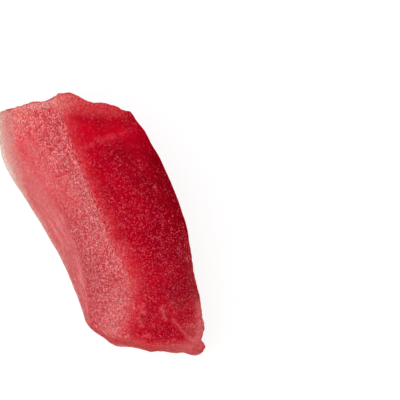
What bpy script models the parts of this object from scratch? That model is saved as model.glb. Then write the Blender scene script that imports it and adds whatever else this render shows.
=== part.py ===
"""One thick slice of raw tuna, as served for sashimi: a single solid piece of flesh.

The slice is cut from a loin block with slanting strokes, so that its cross-section is a leaning
five-sided figure: a steep heel and a long slanting face on the left, a broad face on top that
falls a little to the right, and an undercut side. Both ends are cut askew. It lies on its flat
underside with its length along Y, the near end towards -Y, and stands on z = 0.

Run it with blender --background --python part.py, or from the text editor. Metres, +Z up.
"""

import math

import bmesh
import bpy
from mathutils import Vector, noise

MM = 0.001

# Each long edge of the slice, from the near end to the far end, at equal steps along its length:
# how far to the right it lies, how high it is, and how widely it is rounded at the two ends.
# Millimetres, in order round the section.
LONG_EDGES = {
    "left_foot": {
        "across": (-8.3, -9.5, -11.9, -14.9, -17.5, -15.9),
        "height": (0.0, 0.0, 0.0, 0.0, 0.0, 0.0),
        "rounding": (1.4, 1.8),
    },
    "heel": {
        "across": (-6.8, -5.6, -6.3, -9.0, -12.6, -12.8),
        "height": (6.2, 8.4, 9.8, 9.4, 7.4, 7.0),
        "rounding": (2.0, 3.0),
    },
    "ridge": {
        "across": (-0.4, 4.0, 1.8, -0.2, -1.5, -2.2),
        "height": (13.0, 14.5, 15.5, 16.0, 16.0, 15.5),
        "rounding": (1.3, 0.9),
    },
    "shoulder": {
        "across": (15.3, 16.4, 17.2, 17.5, 16.3, 13.3),
        "height": (10.5, 11.5, 12.5, 13.0, 12.5, 12.0),
        "rounding": (1.2, 4.2),
    },
    "right_foot": {
        "across": (14.8, 14.0, 13.0, 12.0, 10.5, 8.0),
        "height": (0.0, 0.0, 0.0, 0.0, 0.0, 0.0),
        "rounding": (1.2, 1.6),
    },
}

# How far each face swells past the flat run between its two edges, as a share of that run, in the
# same order: heel face, left face, top face, right side, underside.
SWELL = (0.02, 0.045, 0.03, 0.03, 0.0)

# The two end cuts: how far along they lie, every CUT_STEP across, starting at CUTS_FROM.
# Millimetres.
CUT_STEP = 5.0
CUTS_FROM = {"near": -10.0, "far": -17.0}
CUTS = {
    "near": (-16.0, -21.3, -24.9, -26.9, -28.6, -30.0),
    "far": (31.0, 29.6, 28.0, 27.0, 25.1, 23.2, 20.4),
}
NEAR_CUT_LEANS_BACK = 0.16  # of its height, at the right-hand corner
END_ROUNDING = 0.8

# Tabs and dents at the rims of the cuts, as (across, height, radius, how far out), in millimetres.
TABS = {
    "near": ((-2.9, 0.0, 1.5, 0.9), (-5.6, 0.5, 2.0, -0.2), (14.0, 9.5, 1.8, -0.5)),
    "far": ((-0.9, 15.0, 2.6, 0.5), (4.5, 14.0, 2.0, -0.3), (-12.6, 7.0, 3.4, -1.1)),
}

# Relief of the flesh: (wavelength, height) in millimetres.
UNDULATION = (11.0, 0.35)
LUMPS = (4.2, 0.16)
TORN_ENDS = (2.6, 0.4)
TEAR_LEFT_INSIDE = 0.15  # share of the tearing at a rim that is left in the middle of the cut
RELIEF_STARTS_AT = 1.0  # above the underside, which stays flat

# A short crease in the top face, which cuts off its near right-hand corner. Millimetres.
CREASE_FROM = (8.8, -21.8)
CREASE_TO = (14.0, -26.8)
CREASE_HALF_WIDTH = 1.4
CREASE_DEPTH = 0.4

# The right-hand edge is crumbled from its near end to CRUMBLED_UP_TO. Millimetres.
CRUMBLED_UP_TO = -8.0
CRUMBLED_FADE = 4.0  # the length over which the crumbling sets in
CRUMBLED_WIDTH = 1.8
CRUMBS = (2.1, 0.32)  # wavelength, height

# Numbers of faces.
FACES_ACROSS = (8, 10, 18, 10, 10)
FACES_PER_CORNER = 4
FACES_ALONG = 54
FACES_ROUND_END = 3
CAP_SIZES = (0.91, 0.79, 0.64, 0.48, 0.31, 0.14)  # of the rings that close an end, as shares of its outline

RAW_TUNA = {"color": (0.50, 0.012, 0.028, 1.0), "roughness": 0.38, "subsurface": 0.25}


def clear_scene():
    for obj in list(bpy.data.objects):
        bpy.data.objects.remove(obj, do_unlink=True)


def smooth_line(values, at):
    """The value at a share of the way along a smooth line through evenly spaced values."""
    place = at * (len(values) - 1)
    start = min(int(place), len(values) - 2)
    share = place - start
    before, here, there, after = (values[min(max(start + k, 0), len(values) - 1)] for k in (-1, 0, 1, 2))
    leaving = (there - before) / 2
    arriving = (after - here) / 2
    return (
        here * (1 + 2 * share) * (1 - share) ** 2
        + leaving * share * (1 - share) ** 2
        + there * share**2 * (3 - 2 * share)
        + arriving * share**2 * (share - 1)
    )


def section_corners(along):
    """The section's five corners as (across, height), and their rounding, at a share of the length."""
    corners = []
    roundings = []
    for edge in LONG_EDGES.values():
        corners.append(Vector((smooth_line(edge["across"], along), smooth_line(edge["height"], along))))
        near, far = edge["rounding"]
        roundings.append(near + (far - near) * along)
    return corners, roundings


def rounded_section(along):
    """Points round the section: a swelling run between each pair of corners, and an arc at each corner."""
    corners, roundings = section_corners(along)
    count = len(corners)
    points = []
    for i, corner in enumerate(corners):
        following = corners[(i + 1) % count]
        previous = corners[i - 1]
        to_previous = (previous - corner).normalized() * roundings[i]
        to_following = (following - corner).normalized() * roundings[i]
        for k in range(FACES_PER_CORNER):
            t = k / FACES_PER_CORNER
            points.append(corner + to_previous * (1 - t) ** 2 + to_following * t**2)
        start = corner + to_following
        end = following + (corner - following).normalized() * roundings[(i + 1) % count]
        run = end - start
        outward = Vector((-run.y, run.x)).normalized()
        for k in range(FACES_ACROSS[i]):
            t = k / FACES_ACROSS[i]
            swell = SWELL[i] * run.length * math.sin(math.pi * t) ** 2
            points.append(start + run * t + outward * swell)
    return points


def torn(across, height, end):
    """How far the flesh stands out or is torn in at the rim of an end, in millimetres."""
    wavelength, depth = TORN_ENDS
    place = Vector((across / wavelength, 7.0 if end == "far" else -7.0, height / wavelength))
    out = depth * noise.noise(place) + 0.5 * depth * noise.noise(place * 2.1)
    for tab_across, tab_height, radius, reach in TABS[end]:
        away = math.hypot(across - tab_across, height - tab_height) / radius
        out += reach * math.exp(-(away**2))
    return out


def cut(across, height, end, tear):
    """Where an end's cut lies along the slice. tear is the share of its tearing that counts."""
    values = CUTS[end]
    place = (across - CUTS_FROM[end]) / (CUT_STEP * (len(values) - 1))
    along = smooth_line(values, min(max(place, 0.0), 1.0))
    if end == "far":
        return along + tear * torn(across, height, end)
    to_the_right = min(max(across / LONG_EDGES["shoulder"]["across"][0], 0.0), 1.0)
    lean = NEAR_CUT_LEANS_BACK * to_the_right**2 * height
    return along + lean - tear * torn(across, height, end)


def ring(along, inset=0.0, past_end=0.0, size=1.0):
    """One ring of points round the slice. inset draws it in from the sides by a distance, size
    shrinks it towards its middle, and past_end moves it beyond the length that the sides cover."""
    section = rounded_section(along)
    middle = sum(section, Vector((0, 0))) / len(section)
    tear = TEAR_LEFT_INSIDE + (1 - TEAR_LEFT_INSIDE) * size**4
    points = []
    for p in section:
        inward = middle - p
        drawn = middle - (inward - inward.normalized() * inset) * size
        near = cut(drawn.x, drawn.y, "near", tear) + END_ROUNDING
        far = cut(drawn.x, drawn.y, "far", tear) - END_ROUNDING
        points.append(Vector((drawn.x, near + (far - near) * along + past_end, drawn.y)))
    return points


def rings():
    """All rings, from the middle of the near end round its edge, along the sides, and into the far end."""
    turned = [(k + 1) / FACES_ROUND_END * math.pi / 2 for k in range(FACES_ROUND_END)]
    steps = [(END_ROUNDING * (1 - math.cos(a)), END_ROUNDING * math.sin(a), 1.0) for a in turned]
    steps += [(END_ROUNDING, END_ROUNDING, size) for size in CAP_SIZES]
    near = [ring(0.0, inset, -past, size) for inset, past, size in reversed(steps)]
    sides = [ring(k / FACES_ALONG) for k in range(FACES_ALONG + 1)]
    far = [ring(1.0, inset, past, size) for inset, past, size in steps]
    return near + sides + far


def skin_of_rings(bm, all_rings):
    """Joins each ring to the next with quads, and closes the two ends."""
    loops = [[bm.verts.new(p * MM) for p in points] for points in all_rings]
    for here, there in zip(loops, loops[1:]):
        for k in range(len(here)):
            bm.faces.new((here[k - 1], here[k], there[k], there[k - 1]))
    for loop in (loops[0], loops[-1]):
        middle = bm.verts.new(sum((v.co for v in loop), Vector()) / len(loop))
        for k in range(len(loop)):
            bm.faces.new((loop[k - 1], loop[k], middle))
    bmesh.ops.recalc_face_normals(bm, faces=bm.faces)


def crease(place):
    """How deep the crease is at a place, in millimetres."""
    start = Vector(CREASE_FROM)
    run = Vector(CREASE_TO) - start
    offset = place.xy - start
    share = min(max(offset.dot(run) / run.length_squared, 0.0), 1.0)
    away = (offset - run * share).length / CREASE_HALF_WIDTH
    return CREASE_DEPTH * math.exp(-(away**2))


def crumbs(place, edge):
    """How far the crumbled edge stands out or in at a place, in millimetres. edge is how far to the
    right the edge lies."""
    wavelength, size = CRUMBS
    near_edge = math.exp(-(((place.x - edge) / CRUMBLED_WIDTH) ** 2))
    near_end = min(max((CRUMBLED_UP_TO - place.y) / CRUMBLED_FADE, 0.0), 1.0)
    return near_edge * near_end * size * noise.noise(place / wavelength)


def add_relief(bm):
    """Pushes the flesh in and out a little, everywhere but on the underside."""
    bm.normal_update()
    edge = LONG_EDGES["shoulder"]["across"][1]
    moves = []
    for v in bm.verts:
        place = v.co / MM
        share = min(max(place.z / RELIEF_STARTS_AT, 0.0), 1.0)
        push = sum(size * noise.noise(place / wavelength) for wavelength, size in (UNDULATION, LUMPS))
        push += crumbs(place, edge)
        on_top = min(max(2 * v.normal.z - 1, 0.0), 1.0)
        push -= on_top * crease(place)
        moves.append(v.normal * (push * share * MM))
    for v, move in zip(bm.verts, moves):
        v.co += move
        v.co.z = max(v.co.z, 0.0)


def centre_over_origin(bm):
    low = Vector(min(v.co[i] for v in bm.verts) for i in range(3))
    high = Vector(max(v.co[i] for v in bm.verts) for i in range(3))
    middle = (low + high) / 2
    bmesh.ops.translate(bm, verts=bm.verts, vec=(-middle.x, -middle.y, -low.z))


def raw_tuna():
    material = bpy.data.materials.new("raw_tuna")
    material.use_nodes = True
    shader = material.node_tree.nodes["Principled BSDF"]
    shader.inputs["Base Color"].default_value = RAW_TUNA["color"]
    shader.inputs["Roughness"].default_value = RAW_TUNA["roughness"]
    shader.inputs["Metallic"].default_value = 0.0
    shader.inputs["Subsurface Weight"].default_value = RAW_TUNA["subsurface"]
    return material


def make_slice():
    bm = bmesh.new()
    skin_of_rings(bm, rings())
    add_relief(bm)
    centre_over_origin(bm)
    mesh = bpy.data.meshes.new("tuna_slice")
    bm.to_mesh(mesh)
    bm.free()
    mesh.shade_smooth()
    mesh.materials.append(raw_tuna())
    tuna_slice = bpy.data.objects.new("tuna_slice", mesh)
    bpy.context.scene.collection.objects.link(tuna_slice)
    return tuna_slice


def main():
    clear_scene()
    make_slice()


main()
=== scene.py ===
import math

import bmesh
import bpy
import numpy as np
from mathutils import Matrix, Vector, noise


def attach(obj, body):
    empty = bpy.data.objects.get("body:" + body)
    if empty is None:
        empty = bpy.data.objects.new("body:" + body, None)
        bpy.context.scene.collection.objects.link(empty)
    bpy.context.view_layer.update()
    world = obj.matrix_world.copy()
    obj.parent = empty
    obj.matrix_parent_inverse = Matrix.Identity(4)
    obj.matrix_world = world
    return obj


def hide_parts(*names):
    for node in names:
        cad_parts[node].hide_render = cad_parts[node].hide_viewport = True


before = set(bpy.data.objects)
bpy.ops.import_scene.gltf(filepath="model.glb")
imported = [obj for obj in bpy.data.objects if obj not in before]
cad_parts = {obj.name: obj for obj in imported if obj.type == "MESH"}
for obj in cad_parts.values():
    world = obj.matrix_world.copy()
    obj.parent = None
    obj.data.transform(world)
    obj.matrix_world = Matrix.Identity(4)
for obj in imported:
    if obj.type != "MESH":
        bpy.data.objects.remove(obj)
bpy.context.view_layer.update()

MM = 0.001


# ---------------------------------------------------------------- the fine mesh

FLESH_GRID = 0.28  # millimetres, the size of the fine mesh's faces
WELD = 0.002  # millimetres; points of the solid nearer than this are made one
BASE_PLANE = 0.05  # millimetres; points lower than this stay on the floor


def coordinates(mesh):
    co = np.empty(len(mesh.vertices) * 3)
    mesh.vertices.foreach_get("co", co)
    return co.reshape(-1, 3)


def set_coordinates(mesh, co):
    mesh.vertices.foreach_set("co", co.astype(np.float32).ravel())
    mesh.update()


def normals(mesh):
    vectors = np.empty(len(mesh.vertices) * 3)
    mesh.vertex_normals.foreach_get("vector", vectors)
    return vectors.reshape(-1, 3)


def fine_copy(source, name, grid):
    """A closed copy of a node's mesh, remade from small even faces."""
    mesh = source.data.copy()
    bm = bmesh.new()
    bm.from_mesh(mesh)
    bmesh.ops.remove_doubles(bm, verts=bm.verts, dist=WELD * MM)
    bm.to_mesh(mesh)
    bm.free()
    rough = bpy.data.objects.new(name + "_rough", mesh)
    bpy.context.scene.collection.objects.link(rough)
    remesh = rough.modifiers.new("even", "REMESH")
    remesh.mode = "VOXEL"
    remesh.voxel_size = grid * MM
    graph = bpy.context.evaluated_depsgraph_get()
    fine = bpy.data.meshes.new_from_object(rough.evaluated_get(graph))
    bpy.data.objects.remove(rough)
    fine.name = name
    fine.materials.clear()
    piece = bpy.data.objects.new(name, fine)
    bpy.context.scene.collection.objects.link(piece)
    return piece


def neighbour_mean(mesh):
    """A function that turns one value at each point into the mean of its neighbours' values."""
    ends = np.empty(len(mesh.edges) * 2, int)
    mesh.edges.foreach_get("vertices", ends)
    a, b = ends.reshape(-1, 2).T
    size = len(mesh.vertices)
    count = np.bincount(a, minlength=size) + np.bincount(b, minlength=size)

    def mean(values):
        return (np.bincount(a, values[b], size) + np.bincount(b, values[a], size)) / count

    return mean


def spread(mesh, values, rounds):
    """Blurs one value at each point over the mesh."""
    mean = neighbour_mean(mesh)
    for _ in range(rounds):
        values = (values + mean(values)) / 2
    return values


def relax(mesh, rounds, share):
    """Evens the surface out: each point moves part of the way to the middle of its neighbours. The
    share is one number, or one for each point."""
    mean = neighbour_mean(mesh)
    co = coordinates(mesh)
    flat = co[:, 2] < BASE_PLANE * MM
    for _ in range(rounds):
        middle = np.stack([mean(values) for values in co.T], axis=1)
        co += np.reshape(share, (-1, 1)) * (middle - co)
        co[flat, 2] = 0.0
    set_coordinates(mesh, co)


def field(points, wavelength, seed=0.0):
    """Smooth noise between about -1 and 1 at each point. The wavelength is one number, or one for
    each axis."""
    scaled = points / np.asarray(wavelength, float) + seed
    return np.array([noise.noise(Vector(p)) for p in scaled])


def smoothstep(low, high, x):
    """From 0 at low to 1 at high, which may be the smaller of the two."""
    t = np.clip((x - low) / (high - low), 0.0, 1.0)
    return t * t * (3 - 2 * t)


def band(start, full, fading, end, x):
    """1 from full to fading, and 0 before the start and past the end."""
    return smoothstep(start, full, x) * smoothstep(end, fading, x)


def bell(x, width):
    """1 at 0, falling off on both sides."""
    return np.exp(-((x / width) ** 2))


def largest(*values):
    return np.maximum.reduce(values)


def line_at(line, place):
    """The value at each place of a smooth line through evenly spaced values."""
    values, ends = np.array(line[0]), line[1]
    spots = np.linspace(*ends, len(values))
    slopes = np.gradient(values, spots)
    k = np.clip(np.searchsorted(spots, place) - 1, 0, len(values) - 2)
    step = spots[1] - spots[0]
    t = np.clip((place - spots[k]) / step, 0.0, 1.0)
    here = values[k] * (1 + 2 * t) * (1 - t) ** 2 + slopes[k] * step * t * (1 - t) ** 2
    return here + values[k + 1] * t**2 * (3 - 2 * t) + slopes[k + 1] * step * t**2 * (t - 1)


def distance_to_path(points, path):
    """How far each point lies, seen from above, from a path of straight runs."""
    nearest = np.full(len(points), np.inf)
    for start, end in zip(path, path[1:]):
        start, run = np.array(start), np.subtract(end, start)
        offset = points[:, :2] - start
        share = np.clip(offset @ run / (run @ run), 0.0, 1.0)
        nearest = np.minimum(nearest, np.linalg.norm(offset - share[:, None] * run, axis=1))
    return nearest


def along_rim(tongues, place):
    """How far out the rim is at each place along it."""
    return sum(reach * bell(place - middle, width) for middle, width, reach in tongues)


def on_strokes(points, strokes, width):
    """1 on the given short strokes, as seen from above, and 0 off them."""
    shares = []
    for *middle, run_across, run_along in strokes:
        half = np.array((run_across, run_along)) / 2
        shares.append(bell(distance_to_path(points, (middle - half, middle + half)), width))
    return largest(*shares)


# ---------------------------------------------------------------- what lies where on the slice

# All lengths down to the material are in millimetres. x runs across the slice, to the right, and y
# along it, away from the camera. The ends of a smoothstep or a band are places on the slice, or
# parts of a normal of length 1.

# Long edges of the slice as seen from above: how far to the right each lies, at even steps from its
# near end to its far one, and how far along those two ends lie.
RIDGE = (-0.25, 4.15, 1.95, -0.05, -1.35, -2.05), (-24.4, 25.7)
HEEL = (-6.65, -5.45, -6.15, -8.85, -12.45, -12.65), (-19.3, 28.0)
SHOULDER = (15.0, 16.2, 17.0, 17.0, 15.4, 12.0), (-28.0, 18.9)
# The far cut: how far along it lies, at even steps from its left end to its right one.
FAR_CUT = (30.5, 29.1, 27.5, 26.5, 24.6, 22.7, 19.9), (-16.9, 13.1)

# Other lines on it, as (across, along) of their points, and small torn marks of darker flesh.
CREASE = ((10.0, -23.4), (11.0, -25.1), (12.1, -27.1), (13.2, -27.9), (14.6, -28.3))
SEPTUM = ((1.2, 14.8), (4.5, 15.2), (7.6, 15.6), (10.4, 16.2), (12.6, 16.8))
MARKS = ((-7.2, 24.5), (-6.0, 20.1), (-5.6, 23.0), (-3.6, 19.2), (-2.4, 11.2), (-9.6, 21.4))
MARK_WIDTH, MARK_LENGTH = 0.38, 0.95

# Tongues and bites of the rims: where along the rim, how wide, how far out.
FAR_TONGUES = (
    (-11.8, 1.4, 0.45), (-7.4, 1.6, 0.10), (-4.5, 1.2, -0.45),
    (-1.6, 0.9, 0.35), (2.4, 2.0, 1.5), (9.8, 1.3, 0.35),
)
NEAR_TONGUES = (
    (-2.9, 1.1, 0.45), (1.4, 1.6, -0.30), (4.3, 1.3, 0.30), (8.0, 1.5, 0.12), (12.3, 1.6, 0.45),
)
RIGHT_TONGUES = (
    (-30.2, 1.2, -0.35), (-28.0, 1.0, -0.95), (-25.2, 1.0, 0.10),
    (-22.9, 0.8, 0.20), (-6.0, 6.0, 0.50), (16.2, 2.5, 0.45),
)
LEFT_TONGUES = ((-17.4, 3.0, -0.50), (-12.0, 3.0, -0.25), (4.0, 2.5, -0.15), (15.5, 4.0, 0.30))

# Small torn tufts on the top face near its near end: the middle of each, and its run across and
# along.
TUFTS = (
    (4.6, -19.6, 1.0, 0.35), (4.3, -20.7, 0.9, 0.1), (3.3, -21.6, 0.6, 0.0),
    (3.5, -22.3, 0.5, 0.05), (3.6, -23.1, 0.6, 0.05), (4.2, -25.0, 0.7, 0.2),
    (8.3, -21.1, 0.2, -0.9), (8.5, -22.7, 0.3, -0.8),
)
TUFT_WIDTH, TUFT_HEIGHT = 0.28, 0.12
GROOVE_WIDTH, GROOVE_DEPTH = 0.4, 0.13
CREASE_WIDTH = 0.32  # of the paler flesh and the painted highlight along it
RIDGE_WIDTH = 1.6  # of the strip along the ridge that is rounded most
FIBRE_SLANT = 0.35  # how far to the right the strip's fibres run for each millimetre along it

flesh = fine_copy(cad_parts["tuna_slice"], "tuna_flesh", FLESH_GRID)
relax(flesh.data, rounds=5, share=0.5)

co = coordinates(flesh.data) / MM
from_ridge = co[:, 0] - line_at(RIDGE, co[:, 1])
by_ridge = bell(from_ridge, RIDGE_WIDTH) * smoothstep(8.0, 11.0, co[:, 2])
relax(flesh.data, rounds=30, share=0.5 * by_ridge)

co = coordinates(flesh.data) / MM
nm = normals(flesh.data)
x, y, z = co.T.copy()
nx, ny, nz = nm.T

# Where each point lies: to the right of the ridge and of the heel, inwards of the shoulder and of
# the far cut, and away from the crease.
past_ridge = x - line_at(RIDGE, y)
past_heel = x - line_at(HEEL, y)
to_shoulder = line_at(SHOULDER, y) - x
to_far_cut = line_at(FAR_CUT, x) - y
from_crease = distance_to_path(co, CREASE)

# Which face it is on, from 0 to 1. The left face has a ragged edge.
ragged = 0.13 * field(co, 1.1, 113.0) + 0.11 * field(co, 0.6, 127.0)
on_left = smoothstep(0.2, 0.42, -nx + ragged)
facing_left = smoothstep(-0.2, 0.3, -nx)
on_top = smoothstep(0.45, 0.2, -nx) * smoothstep(0.4, 0.7, nz)
strip = on_left * smoothstep(0.6, -0.6, past_heel)
near_face = smoothstep(0.45, 0.75, -ny)
near_cut = near_face * smoothstep(-5.5, -2.0, x)
far_face = smoothstep(0.45, 0.75, ny)

# How coarse the cut is: it shows its grain on the left face and low on the top face, while the
# strip under the heel and the upper right-hand edge are smooth.
upper_right = largest(
    smoothstep(5.5, 2.0, to_shoulder) * smoothstep(-14.0, 2.0, y),
    smoothstep(9.0, 4.0, to_shoulder) * smoothstep(6.0, 16.0, y),
)
septum = smoothstep(1.2, 0.0, distance_to_path(co, SEPTUM)) * (0.7 + 0.6 * field(co, 1.2, 53.0))
septum *= smoothstep(0.5, 4.0, past_ridge)
septum = np.clip(septum * smoothstep(1.0, 4.5, to_shoulder), 0.0, 1.0)
top_grain = largest(
    (0.55 + 0.45 * smoothstep(12.0, -3.0, y)) * (1 - 0.6 * upper_right),
    0.7 * septum,
    0.8 * smoothstep(5.0, 3.0, to_far_cut),
    0.75 * smoothstep(2.6, 0.6, past_ridge) * smoothstep(20.0, 12.0, y),
)
left_grain = 0.75 + 0.30 * smoothstep(0.5, 3.5, past_heel)
left_grain *= 1 - 0.28 * smoothstep(1.0, -5.0, y) * (1 - 0.7 * smoothstep(-15.0, -21.0, y))
mid_left = band(-3.0, 5.0, 20.0, 22.5, y)
mid_grain = 0.36 + 0.60 * smoothstep(1.5, 7.0, past_heel)
left_grain = left_grain * (1 - mid_left) + mid_grain * mid_left
left_grain += 0.22 * smoothstep(-3.5, -1.2, past_ridge) * band(-5.0, 1.0, 11.0, 15.0, y)
marks = largest(
    *(bell(x - across, MARK_WIDTH) * bell(y - along, MARK_LENGTH) for across, along in MARKS)
)
grain = np.where(past_ridge < 0.0, left_grain, top_grain)
grain *= 1 - strip * (0.25 + 0.45 * smoothstep(14.0, 4.0, y))
grain *= 1 - 0.55 * near_cut
grain *= 1 - 0.6 * far_face
grain *= 1 - 0.85 * marks


# ---------------------------------------------------------------- the relief

# Broad lumps, crumbs, torn ends, fibres along the strip, a crumbled right edge, teeth of the near
# rim, the crease's groove and the tufts.
lumps = 0.07 * field(co, 3.1)
crumbs = (0.055 + 0.035 * on_left) * field(co, 1.25, 11.0)
crumbs += (0.04 + 0.04 * on_left) * field(co, 0.75, 23.0)
tears = 0.20 * field(co, (1.5, 3.0, 1.5), 31.0) + 0.12 * field(co, (0.8, 2.0, 0.8), 47.0)
slant = FIBRE_SLANT * y[:, None] * np.array([1.0, 0.0, 0.0])
fibres = 0.05 * field(co + slant, (0.55, 7.0, 0.8), 61.0)
crumbled = largest(
    smoothstep(1.8, 0.0, np.abs(to_shoulder)) * smoothstep(-10.0, -20.0, y),
    0.5 * smoothstep(3.0, 1.0, from_crease) * smoothstep(-22.0, -25.0, y),
)
chips = 0.22 * field(co, 1.2, 71.0) + 0.12 * field(co, 0.7, 83.0)
teeth = 0.09 * field(co, (0.55, 3.0, 2.5), 149.0) + 0.08 * field(co, (1.2, 3.0, 3.0), 151.0)
tufts = on_strokes(co, TUFTS, TUFT_WIDTH) * on_top
push = lumps + grain * crumbs + (0.5 * near_face + far_face) * tears + strip * fibres
push += crumbled * chips
push -= GROOVE_DEPTH * bell(from_crease, GROOVE_WIDTH) * on_top
push += near_face * teeth
push += TUFT_HEIGHT * tufts

above_base = smoothstep(0.0, 1.2, z)
on_right_rim = np.maximum(smoothstep(3.0, 7.0, z), smoothstep(-23.0, -26.0, y))
co += nm * (push * above_base)[:, None]
co[:, 1] += along_rim(FAR_TONGUES, x) * smoothstep(24.0, 26.0, y) * above_base
co[:, 1] -= along_rim(NEAR_TONGUES, x) * smoothstep(-22.0, -24.0, y) * above_base
co[:, 0] += along_rim(RIGHT_TONGUES, y) * smoothstep(4.0, 1.0, to_shoulder) * on_right_rim
co[:, 0] -= along_rim(LEFT_TONGUES, y) * smoothstep(0.3, 0.7, -nx) * smoothstep(8.0, 4.0, z)
co[:, 2] = np.maximum(co[:, 2], 0.0)
set_coordinates(flesh.data, co * MM)
flesh.data.shade_smooth()


# ---------------------------------------------------------------- where each tint, painted light and painted shade lies

lower = smoothstep(14.0, 4.0, y)
nearer = smoothstep(3.0, -5.0, y)
nearest = smoothstep(-9.0, -18.0, y)
farthest = smoothstep(20.5, 24.5, y)

# Just past the ridge: a painted glow of light through the ridge, and the left face's tint, partly
# painted sheen, which runs over it.
wavering = past_ridge + 0.35 * field(co, 1.3, 91.0) + 0.5 * field(co, 3.0, 97.0)
beyond = np.maximum(wavering, 0.0)
glow = (0.30 + 0.02 * lower) * bell(beyond, 1.6 + 0.3 * lower + 0.4 * nearest)
glow += 0.6 * smoothstep(21.5, 25.5, y) * smoothstep(3.8, 0.0, past_ridge)
glow = np.clip(glow, 0.0, 1.0)
tint_reach = 0.75 - 0.20 * nearest - 0.12 * nearer + 1.3 * farthest
left_tint = (0.72 + 0.23 * farthest - 0.14 * nearer) * np.exp(-beyond / tint_reach)
left_tint = np.maximum(on_left, left_tint)
tab = smoothstep(21.0, 24.5, y) * band(-2.2, -0.5, 0.5, 4.5, past_ridge)

# Left of the ridge: a painted sheen, narrow near the near end, wide at it and faint halfway along,
# and redder flesh.
narrow = smoothstep(-2.4, -0.9, past_ridge)
narrow *= 0.7 * smoothstep(-4.0, -14.0, y) - 0.5 * smoothstep(-14.0, -18.0, y)
wide = 0.65 * band(-7.5, -4.0, -2.2, -0.4, past_ridge) * smoothstep(-13.0, -19.0, y)
halfway = 0.45 * smoothstep(-4.5, -1.8, past_ridge) * band(-8.0, -3.0, 8.0, 12.5, y)
painted_sheen = largest(narrow, wide, halfway) * on_left * (1 - near_cut)
ridge_side = 0.8 * smoothstep(-7.0, -2.5, past_ridge) * (1 - painted_sheen) * smoothstep(26.0, 21.0, y)
red_ridge = 0.65 * smoothstep(-2.2, -0.3, past_ridge) * band(-25.0, -23.0, -13.0, -7.0, y)
near_left = smoothstep(13.0, -4.0, y) * (1 - 0.3 * smoothstep(-12.0, -18.0, y))
near_left *= 1 - 0.6 * smoothstep(-5.0, -0.5, past_ridge)

# The top face: painted light on its far rim, and painted shade, as the red deepens from the ridge
# towards the shoulder, less near both ends, and is darkest by the shoulder halfway along.
# Painted light on the top face's far rim, by the far cut.
from_far_cut = to_far_cut + 0.5 * field(co, 2.2, 131.0) + 1.3 * smoothstep(2.0, 9.0, x)
far_rim = smoothstep(4.8, 2.8, from_far_cut) * (0.45 + 0.55 * smoothstep(2.2, 0.2, from_far_cut))
far_rim *= smoothstep(-3.0, 0.0, past_ridge) * smoothstep(0.5, 3.0, to_shoulder)
# Painted shade: the red deepens away from the ridge, less near the far and the near end.
top_shade = np.clip(past_ridge / (past_ridge + to_shoulder), 0.0, 1.0) ** 0.55
top_shade -= 0.33 * smoothstep(8.0, 17.0, y)
near_end = 0.12 * smoothstep(-6.0, -14.0, y) + 0.30 * smoothstep(-19.0, -25.0, y)
top_shade -= smoothstep(10.0, 4.0, to_shoulder) * near_end
top_shade -= 0.30 * smoothstep(7.5, 3.5, to_shoulder) * smoothstep(6.0, 13.0, y)
# Painted shade by the shoulder, darkest halfway along.
dark = smoothstep(5.0, 0.8, to_shoulder) * smoothstep(-14.0, -2.0, y)
dark *= 1 - 0.7 * smoothstep(8.0, 14.0, y)

# Painted light shining through thin flesh: along the foot of the left side, up its far end, at the
# very foot, at a clear spot near the far end and by the far cut.
thin_up_to = 3.6 + 4.0 * smoothstep(8.0, 18.0, y) - 0.8 * smoothstep(22.0, 27.0, y)
along_foot = smoothstep(thin_up_to, 0.0, z + 0.4 * field(co, 1.5, 137.0)) * facing_left
thin = largest(
    along_foot * (0.42 + 0.58 * smoothstep(-8.0, 16.0, y)),
    0.22 * smoothstep(12.0, 6.0, z) * smoothstep(20.0, 26.0, y) * facing_left,
    0.7 * smoothstep(1.6, 0.3, z) * smoothstep(-14.0, -4.0, y) * facing_left,
    1.3 * smoothstep(4.0, 1.8, z) * band(9.0, 18.0, 22.0, 26.0, y) * facing_left,
    0.32 * smoothstep(3.2, 1.0, to_far_cut) * on_left * (1 - far_face),
)
fibre = strip * smoothstep(0.0, 0.5, field(co + slant, (0.6, 9.0, 0.9), 61.0))
fibre *= smoothstep(12.0, 1.0, y)

# The near half of the shoulder: a pale edge, and light crumbs on it near the near end.
pale_edge = largest(
    0.34 * smoothstep(2.6, 0.0, to_shoulder) * smoothstep(-4.0, -14.0, y),
    smoothstep(4.5, 2.0, to_shoulder) * smoothstep(-23.0, -26.0, y),
)
edge_waver = field(co, 2.0, 103.0)
pale_edge *= (0.8 + 0.4 * field(co, 0.9, 101.0)) * smoothstep(4.0, 10.5, z + 0.8 * edge_waver)
crumb_edge = smoothstep(1.6, 0.4, to_shoulder) * band(-30.0, -28.0, -22.5, -19.5, y)
crumb_edge *= smoothstep(7.0, 9.5, z + 0.5 * edge_waver)
crumb_edge = np.clip(crumb_edge * (0.7 + 0.8 * field(co, 0.8, 107.0)), 0.0, 1.0)

MASKS = {
    "on_left": on_left,
    "grain": grain,
    "sandy": smoothstep(8.5, 3.5, to_shoulder) * smoothstep(-6.0, -16.0, y) * on_top,
    "top_shade": top_shade,
    "dark": dark,
    "glow": glow,
    "far_rim": far_rim,
    "septum": septum,
    "pale_edge": pale_edge,
    "crumb_edge": crumb_edge,
    "crease": np.maximum(bell(from_crease, CREASE_WIDTH) * on_top, tufts),
    "left_tint": left_tint,
    "far_left": smoothstep(18.0, 23.0, y),
    "near_left": near_left,
    "ridge_side": ridge_side,
    "red_ridge": red_ridge,
    "painted_sheen": painted_sheen,
    "strip": strip,
    "fibre": fibre,
    "marks": marks,
    "tab": tab,
    "cut_face": np.maximum(spread(flesh.data, near_cut, rounds=26), far_face),
    "near_pale": np.maximum(smoothstep(4.0, 10.5, x), far_face),
    "thin": thin,
}
for name, values in MASKS.items():
    attribute = flesh.data.attributes.new(name, "FLOAT", "POINT")
    attribute.data.foreach_set("value", values.astype(np.float32))

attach(flesh, "root")
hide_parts("tuna_slice")


# ---------------------------------------------------------------- the material

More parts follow.
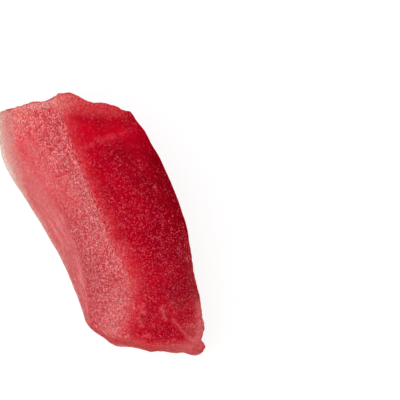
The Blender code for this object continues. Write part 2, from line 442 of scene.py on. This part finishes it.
class Nodes:
    """Adds nodes to a material's tree and links them. A value that goes into a node is a number, a
    colour, another node's socket or the name of one of the masks."""

    def __init__(self, tree):
        self.tree = tree
        self.masks = {}

    def add(self, kind, **settings):
        node = self.tree.nodes.new(kind)
        for key, value in settings.items():
            setattr(node, key, value)
        return node

    def mask(self, name):
        if name not in self.masks:
            node = self.add("ShaderNodeAttribute", attribute_name=name)
            self.masks[name] = node.outputs["Fac"]
        return self.masks[name]

    def put(self, socket, value):
        if isinstance(value, str):
            value = self.mask(value)
        if isinstance(value, bpy.types.NodeSocket):
            self.tree.links.new(value, socket)
        else:
            socket.default_value = value

    def math(self, operation, a, b, clamp=False):
        node = self.add("ShaderNodeMath", operation=operation, use_clamp=clamp)
        self.put(node.inputs[0], a)
        self.put(node.inputs[1], b)
        return node.outputs[0]

    def plus(self, a, b):
        return self.math("ADD", a, b)

    def times(self, a, *others):
        for b in others:
            a = self.math("MULTIPLY", a, b)
        return a

    def stretched(self, vector, factors):
        node = self.add("ShaderNodeVectorMath", operation="MULTIPLY")
        self.put(node.inputs[0], vector)
        self.put(node.inputs[1], factors)
        return node.outputs[0]

    def noise(self, vector, scale, detail=2.0):
        node = self.add("ShaderNodeTexNoise")
        self.put(node.inputs["Vector"], vector)
        self.put(node.inputs["Scale"], scale)
        self.put(node.inputs["Detail"], detail)
        return node.outputs["Fac"]

    def cells(self, vector, scale):
        """A random value between 0 and 1 in each of many small cells."""
        node = self.add("ShaderNodeTexVoronoi", feature="F1")
        self.put(node.inputs["Vector"], vector)
        self.put(node.inputs["Scale"], scale)
        split = self.add("ShaderNodeSeparateColor")
        self.put(split.inputs[0], node.outputs["Color"])
        return split.outputs[0]

    def range(self, value, low, high, to_low=0.0, to_high=1.0, smooth=False):
        """The value, moved from the range between low and high to the one of to_low and to_high."""
        node = self.add("ShaderNodeMapRange")
        node.interpolation_type = "SMOOTHSTEP" if smooth else "LINEAR"
        for socket, v in zip(node.inputs, (value, low, high, to_low, to_high)):
            self.put(socket, v)
        return node.outputs[0]

    def tint(self, color, other, *shares):
        """The colour with another mixed in, by the product of the shares."""
        node = self.add("ShaderNodeMix", data_type="RGBA")
        sockets = {socket.identifier: socket for socket in node.inputs}
        self.put(sockets["Factor_Float"], self.times(*shares))
        for name, value in (("A_Color", color), ("B_Color", other)):
            self.put(sockets[name], (*value, 1.0) if isinstance(value, tuple) else value)
        return next(socket for socket in node.outputs if socket.identifier == "Result_Color")


# Crumbs and specks, which show on all the faces. The light crumbs are partly painted glints, and
# SPARKLE is painted glints.
LIGHT_CRUMB_AND_GLINT = (1.0, 0.36, 0.38)
DARK_CRUMB = (0.40, 0.008, 0.019)
SPECK_RED = (1.0, 0.082, 0.13)
SPARKLE = (1.0, 0.50, 0.50)
# The top face. BRIGHT_RED to DEEP_RED and DARK_RED are painted shade, from its lit to its shaded
# red;
# DEEP_RED also tints dark crumbs.
BRIGHT_RED = (0.69, 0.0006, 0.019)
DEEP_RED = (0.355, 0.0004, 0.012)
DARK_RED = (0.31, 0.0003, 0.007)
GAP_RED = (0.34, 0.0003, 0.007)
GLOW_RED = (0.84, 0.078, 0.108)
LIT_RIM_RED = (0.90, 0.078, 0.085)
PALE_CREASE_AND_HIGHLIGHT = (1.0, 0.16, 0.18)
TAB_RED = (0.80, 0.19, 0.16)
# The left face: paler and pinker than the top face, partly painted light and sheen from the lamps
# on the left.
LEFT_RED = (0.67, 0.060, 0.071)
LEFT_FAR_RED = (0.83, 0.080, 0.084)
LEFT_NEAR_RED = (0.495, 0.023, 0.035)
RIDGE_SIDE_RED = (0.64, 0.036, 0.050)
RED_RIDGE = (0.66, 0.040, 0.048)
SHEEN_RED = (0.74, 0.20, 0.20)
STRIP_REFLECTION_RED = (0.66, 0.162, 0.165)
MARK_RED = (0.52, 0.005, 0.020)
# The cut ends, and the painted light shining through thin flesh.
CUT_RED = (0.66, 0.095, 0.100)
NEAR_CUT_RED = (0.66, 0.048, 0.050)
DEEP_CUT_RED = (0.60, 0.045, 0.055)
THIN_GLOW_PINK = (0.78, 0.58, 0.50)

GRAIN_STRETCH = (1.3, 0.95, 1.3)  # the grains are longest along the slice
# How many of each the material has in a millimetre.
COARSE_GRAINS = 1.6
FINE_GRAINS = 3.9
SMALL_GRAINS = 6.2
SAND_GRAINS = 3.2
PATCHES = 0.45
MOTTLES = 0.22
CUT_BLOTCHES = 0.30
WET_SPOTS = 1.3

WETTEST, DRIEST = 0.20, 0.34  # roughness
SUBSURFACE_RADIUS = (1.0, 0.22, 0.14)  # of red, green and blue, in millimetres
BUMP_HEIGHT = 0.12  # millimetres


def raw_tuna():
    material = bpy.data.materials.new("raw_tuna")
    material.use_nodes = True
    n = Nodes(material.node_tree)
    shader = n.tree.nodes["Principled BSDF"]
    mm = n.stretched(n.add("ShaderNodeTexCoord").outputs["Object"], (1 / MM,) * 3)
    grains = n.stretched(mm, GRAIN_STRETCH)

    # Light and dark crumbs, and specks, which are rarer where the grain is fine or sandy.
    coarse = n.noise(grains, COARSE_GRAINS, detail=1.0)
    fine = n.cells(grains, FINE_GRAINS)
    crumb = n.plus(n.times(coarse, 0.3), n.times(fine, 0.7))
    light = n.range(crumb, 0.53, 0.70, smooth=True)
    deep = n.range(crumb, 0.48, 0.32, smooth=True)
    patchy = n.range(n.noise(mm, PATCHES), 0.35, 0.65, -0.05, 0.05)
    rarer = n.math("SUBTRACT", n.range("grain", 0.0, 1.0, -0.11, 0.0), n.times("sandy", 0.04))
    dense = n.plus(rarer, n.times("septum", 0.20))
    dense = n.plus(n.plus(n.cells(grains, SMALL_GRAINS), patchy), dense)
    speck = n.range(dense, 0.85, 0.92, smooth=True)
    specks = n.times(speck, n.range("grain", 0.0, 0.4, 0.0, 0.9))

    # Painted shade across the top face, mottled at random, then its painted glow and lit far rim.
    mottle = n.range(n.noise(mm, MOTTLES, detail=4.0), 0.3, 0.7, -0.25, 0.25)
    top = n.tint(BRIGHT_RED, DEEP_RED, n.math("ADD", "top_shade", mottle, clamp=True))
    # Painted shade along the shoulder.
    top = n.tint(top, DARK_RED, "dark")
    top = n.tint(top, GLOW_RED, "glow")
    # Painted light on the far rim.
    top = n.tint(top, LIT_RIM_RED, "far_rim")
    top = n.tint(top, LIGHT_CRUMB_AND_GLINT, light, "far_rim", 0.16)
    top = n.tint(top, DEEP_RED, deep, "far_rim", 0.45)
    top = n.tint(top, SPECK_RED, "septum", 0.11)
    top = n.tint(top, CUT_RED, "pale_edge", 0.7)
    # Paler flesh and a painted highlight along the crease and on the tufts.
    top = n.tint(top, PALE_CREASE_AND_HIGHLIGHT, "crease", 0.5)
    top = n.tint(top, GAP_RED, deep, "grain", n.range("glow", 0.1, 0.6, 0.18, 0.1))
    top = n.tint(top, n.tint(SPECK_RED, LIGHT_CRUMB_AND_GLINT, "pale_edge"), specks)
    top = n.tint(top, LIGHT_CRUMB_AND_GLINT, "crumb_edge", 0.35)

    # The left face, partly painted light and sheen.
    side = n.tint(LEFT_RED, LEFT_FAR_RED, "far_left")
    side = n.tint(side, LEFT_NEAR_RED, "near_left")
    side = n.tint(side, RIDGE_SIDE_RED, "ridge_side")
    # A painted reflection of the floor on the strip under the heel.
    side = n.tint(side, STRIP_REFLECTION_RED, "strip", 0.8)
    side = n.tint(side, LIGHT_CRUMB_AND_GLINT, light, "grain", 0.60)
    side = n.tint(side, DARK_CRUMB, deep, "grain", 0.65)
    # Painted glints, sparkling on the left face's grain.
    sparkling = n.range(fine, 0.93, 1.0, 0.0, 0.6)
    side = n.tint(side, SPARKLE, sparkling, n.range("grain", 0.4, 0.95, 0.25, 1.0))
    side = n.tint(side, LIGHT_CRUMB_AND_GLINT, "fibre", 0.35)
    side = n.tint(side, MARK_RED, "marks", 0.95)
    # Painted sheen left of the ridge.
    side = n.tint(side, SHEEN_RED, "painted_sheen", 0.52)
    side = n.tint(side, RED_RIDGE, "red_ridge")

    tab = n.tint(TAB_RED, LIGHT_CRUMB_AND_GLINT, light, 0.35)
    tab = n.tint(tab, DARK_CRUMB, deep, 0.35)

    blotches = n.noise(mm, CUT_BLOTCHES, detail=3.0)
    cut = n.tint(NEAR_CUT_RED, CUT_RED, "near_pale")
    cut = n.tint(cut, DEEP_CUT_RED, n.range(blotches, 0.42, 0.62, 0.0, 0.5, smooth=True))
    cut = n.tint(cut, LIGHT_CRUMB_AND_GLINT, light, 0.30)
    cut = n.tint(cut, DARK_CRUMB, deep, 0.25)

    # The left face's colour, with its painted sheen, runs over the ridge onto the top face.
    color = n.tint(top, side, "left_tint")
    color = n.tint(color, tab, "tab", 0.75)
    color = n.tint(color, cut, "cut_face")
    # Painted light shining through thin flesh.
    color = n.tint(color, THIN_GLOW_PINK, "thin", 0.75)
    n.put(shader.inputs["Base Color"], color)

    n.put(shader.inputs["Subsurface Weight"], n.math("SUBTRACT", 1.0, n.times(specks, 0.9)))
    shader.inputs["Subsurface Radius"].default_value = SUBSURFACE_RADIUS
    shader.inputs["Subsurface Scale"].default_value = 1.0 * MM
    shader.inputs["Subsurface Anisotropy"].default_value = 0.0
    shader.inputs["IOR"].default_value = 1.5
    shader.inputs["Specular IOR Level"].default_value = 0.8
    shader.inputs["Metallic"].default_value = 0.0
    rough = n.range(n.noise(mm, WET_SPOTS, detail=3.0), 0.3, 0.7, WETTEST, DRIEST)
    duller = n.plus(n.times("pale_edge", 0.3), n.times("cut_face", 0.05))
    n.put(shader.inputs["Roughness"], n.plus(rough, duller))

    sand = n.noise(grains, SAND_GRAINS, detail=0.0)
    side_height = n.plus(n.times(coarse, 0.9), n.times(sand, 1.9))
    top_sand = n.times(sand, n.plus(n.times("sandy", 0.25), 0.6))
    top_height = n.plus(n.times(coarse, 0.12), top_sand)
    off_left = n.math("SUBTRACT", 1.0, "on_left")
    height = n.plus(n.times("on_left", side_height), n.times(off_left, top_height))
    bump = n.add("ShaderNodeBump")
    n.put(bump.inputs["Strength"], n.range("grain", 0.0, 1.0, 0.05, 1.0))
    n.put(bump.inputs["Distance"], BUMP_HEIGHT * MM)
    n.put(bump.inputs["Height"], height)
    n.put(shader.inputs["Normal"], bump.outputs[0])
    return material


flesh.data.materials.append(raw_tuna())


# ---------------------------------------------------------------- the floor

WHITE = (1.0, 1.0, 1.0, 1.0)
FLOOR_GREY = (0.30, 0.30, 0.30, 1.0)
GROUND_LIGHT = 0.78  # of the floor and of the world around it
FLOOR_REACH = 2.0  # metres
FLOOR_DROP = 0.02  # millimetres below the slice


def floor_sheet():
    mesh = bpy.data.meshes.new("floor")
    r = FLOOR_REACH
    mesh.from_pydata([(-r, -r, 0), (r, -r, 0), (r, r, 0), (-r, r, 0)], [], [(0, 1, 2, 3)])
    floor = bpy.data.objects.new("floor", mesh)
    floor.location.z = -FLOOR_DROP * MM
    bpy.context.scene.collection.objects.link(floor)
    material = bpy.data.materials.new("floor")
    material.use_nodes = True
    shader = material.node_tree.nodes["Principled BSDF"]
    shader.inputs["Base Color"].default_value = FLOOR_GREY
    shader.inputs["Emission Color"].default_value = WHITE
    shader.inputs["Emission Strength"].default_value = GROUND_LIGHT
    shader.inputs["Roughness"].default_value = 0.9
    shader.inputs["Specular IOR Level"].default_value = 0.0
    mesh.materials.append(material)
    floor.visible_glossy = False
    return floor


floor_sheet()


# ---------------------------------------------------------------- lights and camera

# Each has its azimuth and elevation in degrees, its distance, width and height in metres, and its
# radiance.
SOFTBOXES = {
    "left_softbox": (-95, 18, 0.45, 0.60, 0.30, 0.8),
    "glint": (-80, 32, 0.50, 0.10, 0.10, 13.0),
    "front_softbox": (50, 38, 0.60, 0.20, 0.18, 1.6),
    "back_softbox": (165, 35, 0.60, 0.25, 0.20, 0.7),
    "top_softbox": (-75, 55, 0.60, 0.15, 0.15, 2.0),
}
CAMERA_AZIMUTH = -14.0
CAMERA_ELEVATION = 78.0
CAMERA_PLACE = (5.80, -62.40, 309.53)  # millimetres
CAMERA_LENS = 135.0
SENSOR_WIDTH = 36.0
NEAREST_SEEN = 0.01  # metres


def direction(azimuth, elevation):
    """From the slice outwards. Azimuth 0 is the near side (-Y), and 90 is +X."""
    a, e = math.radians(azimuth), math.radians(elevation)
    return Vector((math.sin(a) * math.cos(e), -math.cos(a) * math.cos(e), math.sin(e)))


def softbox(name, azimuth, elevation, distance, width, height, radiance):
    light = bpy.data.lights.new(name, "AREA")
    light.shape = "RECTANGLE"
    light.size, light.size_y = width, height
    light.energy = radiance * width * height * math.pi
    box = bpy.data.objects.new(name, light)
    out = direction(azimuth, elevation)
    box.location = out * distance
    box.rotation_mode = "QUATERNION"
    box.rotation_quaternion = out.to_track_quat("Z", "Y")
    bpy.context.scene.collection.objects.link(box)


for name, settings in SOFTBOXES.items():
    softbox(name, *settings)

world = bpy.data.worlds.new("studio")
bpy.context.scene.world = world
world.use_nodes = True
background = world.node_tree.nodes["Background"]
background.inputs["Color"].default_value = WHITE
background.inputs["Strength"].default_value = GROUND_LIGHT
world.cycles_visibility.glossy = False

camera = bpy.data.cameras.new("camera")
camera.lens = CAMERA_LENS
camera.sensor_width = SENSOR_WIDTH
camera.clip_start = NEAREST_SEEN
viewer = bpy.data.objects.new("camera", camera)
viewer.location = Vector(CAMERA_PLACE) * MM
back = direction(CAMERA_AZIMUTH, CAMERA_ELEVATION)
turn = math.radians(CAMERA_AZIMUTH)
right = Vector((math.cos(turn), math.sin(turn), 0.0))
axes = Matrix((right, back.cross(right), back)).transposed()
viewer.rotation_mode = "QUATERNION"
viewer.rotation_quaternion = axes.to_quaternion()
bpy.context.scene.collection.objects.link(viewer)
bpy.context.scene.camera = viewer

bpy.context.scene.view_settings.view_transform = "Standard"
